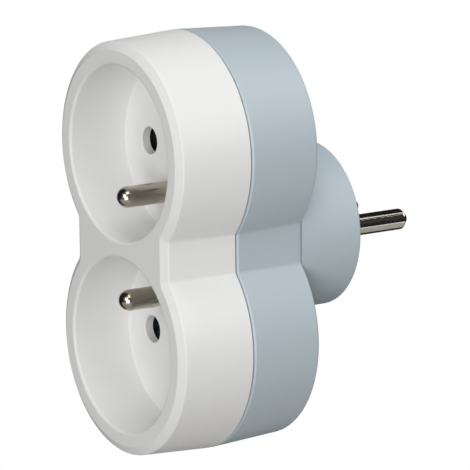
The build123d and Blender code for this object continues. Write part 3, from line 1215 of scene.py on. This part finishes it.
@dataclass(frozen=True)
class Studio:
    """Pale floor well below the object, white surround, soft lights, dark dome and flag."""

    floor_z: float = -300.0
    floor_radius: float = 850.0
    floor_fade: float = 600.0
    floor_seen: Color = (0.90, 0.895, 0.885)
    floor_color: Color = (0.47, 0.46, 0.445)
    disc_rows: int = 24
    dome_radius: float = 1500.0
    dome_low: float = -20.0
    dome_high: float = 80.0
    dome_rows: int = 16
    segments: int = 64
    flag_centre: Point = (-398.0, 56.0)
    flag_radius: float = 400.0
    flag_z: float = -70.0
    surround: Color = (1.0, 1.0, 1.0)
    seen_strength: float = 1.0
    soft_strength: float = 0.03
    lights: tuple[SoftBox, ...] = (
        SoftBox("front", 25.0, 20.0, 3.9),
        SoftBox("low_right", 43.0, -4.0, 5.2),
        SoftBox("high_right", 60.0, 55.0, 2.8),
        SoftBox("right", 107.0, 25.0, 2.8),
        SoftBox("rear", 165.0, 30.0, 4.3),
        SoftBox("top", 0.0, 85.0, 4.3, mirrored=False),
        SoftBox("left_fill", -130.0, 8.0, 6.0, mirrored=False),
        SoftBox("glint", 161.0, 55.0, 0.15, size=0.2),
    )

    def build(self) -> None:
        """Makes floor, dome, flag, surround and lights."""
        self.build_floor()
        black = DOME_BLACK.build()
        self.darken(self.build_dome(), black)
        self.darken(self.disc("flag", self.flag_centre, self.flag_radius, self.flag_z), black)
        self.build_surround()
        for box in self.lights:
            box.build()

    def build_floor(self) -> None:
        """Makes the floor: a disc that fades out, paler to the camera than to the light.

        The fade grows from 0 to 1 with the distance from the object's origin.
        """
        floor = self.disc("floor", (0, 0), self.floor_radius, self.floor_z)
        nodes = NodeMaterial("floor_pale")
        ray = nodes.add("ShaderNodeVectorMath", Vector=nodes.place())
        ray.operation = "LENGTH"
        span = {"From_Min": self.floor_fade * MM, "From_Max": self.floor_radius * MM}
        fade = nodes.add("ShaderNodeMapRange", Value=ray.outputs["Value"], **span)
        seen = nodes.add("ShaderNodeLightPath").outputs["Is Camera Ray"]
        color = nodes.tint(seen, self.floor_color, self.floor_seen)
        solid = nodes.add("ShaderNodeBsdfDiffuse", Color=color).outputs["BSDF"]
        clear = nodes.add("ShaderNodeBsdfTransparent").outputs["BSDF"]
        floor.data.materials.append(nodes.show(nodes.blend(fade.outputs["Result"], solid, clear)))

    def build_dome(self) -> Piece:
        """Makes the dome beyond the lights, open above and below.

        A point at turn a and rise e lies at the radius times (cos e cos a, cos e sin a, sin e).

        Returns:
            The dome.
        """
        rise = np.radians(np.linspace(self.dome_low, self.dome_high, self.dome_rows))[:, None]
        flat = np.cos(rise)[..., None] * circle((0, 0), self.dome_radius, full_turn(self.segments))
        height = np.broadcast_to(self.dome_radius * np.sin(rise), flat.shape[:2])
        sheet = Sheet()
        sheet.add(np.concatenate([flat, height[..., None]], -1))
        return sheet.to_object("dome")

    def disc(self, name: str, centre: Point, radius: float, height: float) -> Piece:
        """Makes a level disc: the centre plus a share of the radius times (cos a, sin a).

        Args:
            name: name of the disc.
            centre: its x and y.
            radius: its radius.
            height: its z.

        Returns:
            The new object.
        """
        share = np.linspace(0, 1, self.disc_rows)[:, None, None]
        flat = np.array(centre) + share * circle((0, 0), radius, full_turn(self.segments))
        sheet = Sheet()
        sheet.add(np.insert(flat, 2, height, axis=-1))
        return sheet.to_object(name)

    def darken(self, card: Piece, black: Material) -> None:
        """Paints a card black and lets only mirrors show it.

        Args:
            card: the dome, or the flag that edges the plug pins from below.
            black: its finish.
        """
        card.data.materials.append(black)
        card.visible_camera = False
        card.visible_diffuse = False
        card.visible_transmission = False
        card.visible_shadow = False

    def build_surround(self) -> None:
        """Makes the world: white where it is seen or mirrored, a soft grey light elsewhere."""
        world = bpy.data.worlds.new("surround")
        world.use_nodes = True
        nodes = NodeTree(world.node_tree)
        ray = nodes.add("ShaderNodeLightPath").outputs
        seen = nodes.total(ray["Is Camera Ray"], ray["Is Glossy Ray"], ray["Is Transmission Ray"])
        soft, white = (
            nodes.add("ShaderNodeBackground", Color=(*self.surround, OPAQUE), Strength=strength)
            for strength in (self.soft_strength, self.seen_strength)
        )
        mix = nodes.blend(seen, soft.outputs["Background"], white.outputs["Background"])
        nodes.add("ShaderNodeOutputWorld", Surface=mix)
        bpy.context.scene.world = world


@dataclass(frozen=True)
class ViewCamera:
    """Camera at the photograph's view, from fitted edges of the object; its reach is in metres."""

    azimuth: float = 56.01
    elevation: float = 11.525
    roll: float = -0.71
    distance: float = 950.0
    lens: float = 320.14
    sensor: float = 36.0
    reach: float = 100.0

    def build(self) -> None:
        """Makes the camera and shows the scene through it."""
        data = bpy.data.cameras.new("view")
        data.lens = self.lens
        data.sensor_width = self.sensor
        data.clip_end = self.reach
        camera = bpy.data.objects.new("view", data)
        back = direction(self.azimuth, self.elevation)
        turn = math.radians(self.azimuth)
        level = Vector((math.cos(turn), math.sin(turn), 0.0))
        up = back.cross(level)
        roll = math.radians(self.roll)
        right = math.cos(roll) * level + math.sin(roll) * up
        axes = Matrix((right, back.cross(right), back)).transposed().to_4x4()
        camera.matrix_world = Matrix.Translation((Vector(AIM) + self.distance * back) * MM) @ axes
        bpy.context.scene.collection.objects.link(camera)
        bpy.context.scene.camera = camera
        log.info("camera at %.0f mm", self.distance)


def main() -> None:
    """Builds and dresses the adapter, then sets up studio and camera."""
    logging.basicConfig(level=logging.INFO, format="%(name)s: %(message)s")
    casing, pattern = Casing(), PinPattern()
    cover = FrontCover(casing, pattern)
    cover.dress(cover.build())
    housing = RearHousing(casing, pattern)
    housing.dress(housing.build())
    plug_pin, plug_nickel = PlugPin(casing, pattern), PLUG_NICKEL.build()
    for side in Side:
        plug_pin.dress(plug_pin.build(side), side, plug_nickel)
    earth_pin, earth_nickel = EarthPin(casing, pattern), EARTH_NICKEL.build()
    spring, spring_steel = ShutterSpring(casing), SPRING_STEEL.build()
    for end in End:
        earth_pin.dress(earth_pin.build(end), end, earth_nickel)
        spring.dress(spring.build(end), end, spring_steel)
    CarriedSolids().dress(spring_steel)
    Studio().build()
    ViewCamera().build()
    bpy.context.scene.view_settings.view_transform = "Standard"


if __name__ == "__main__":
    main()
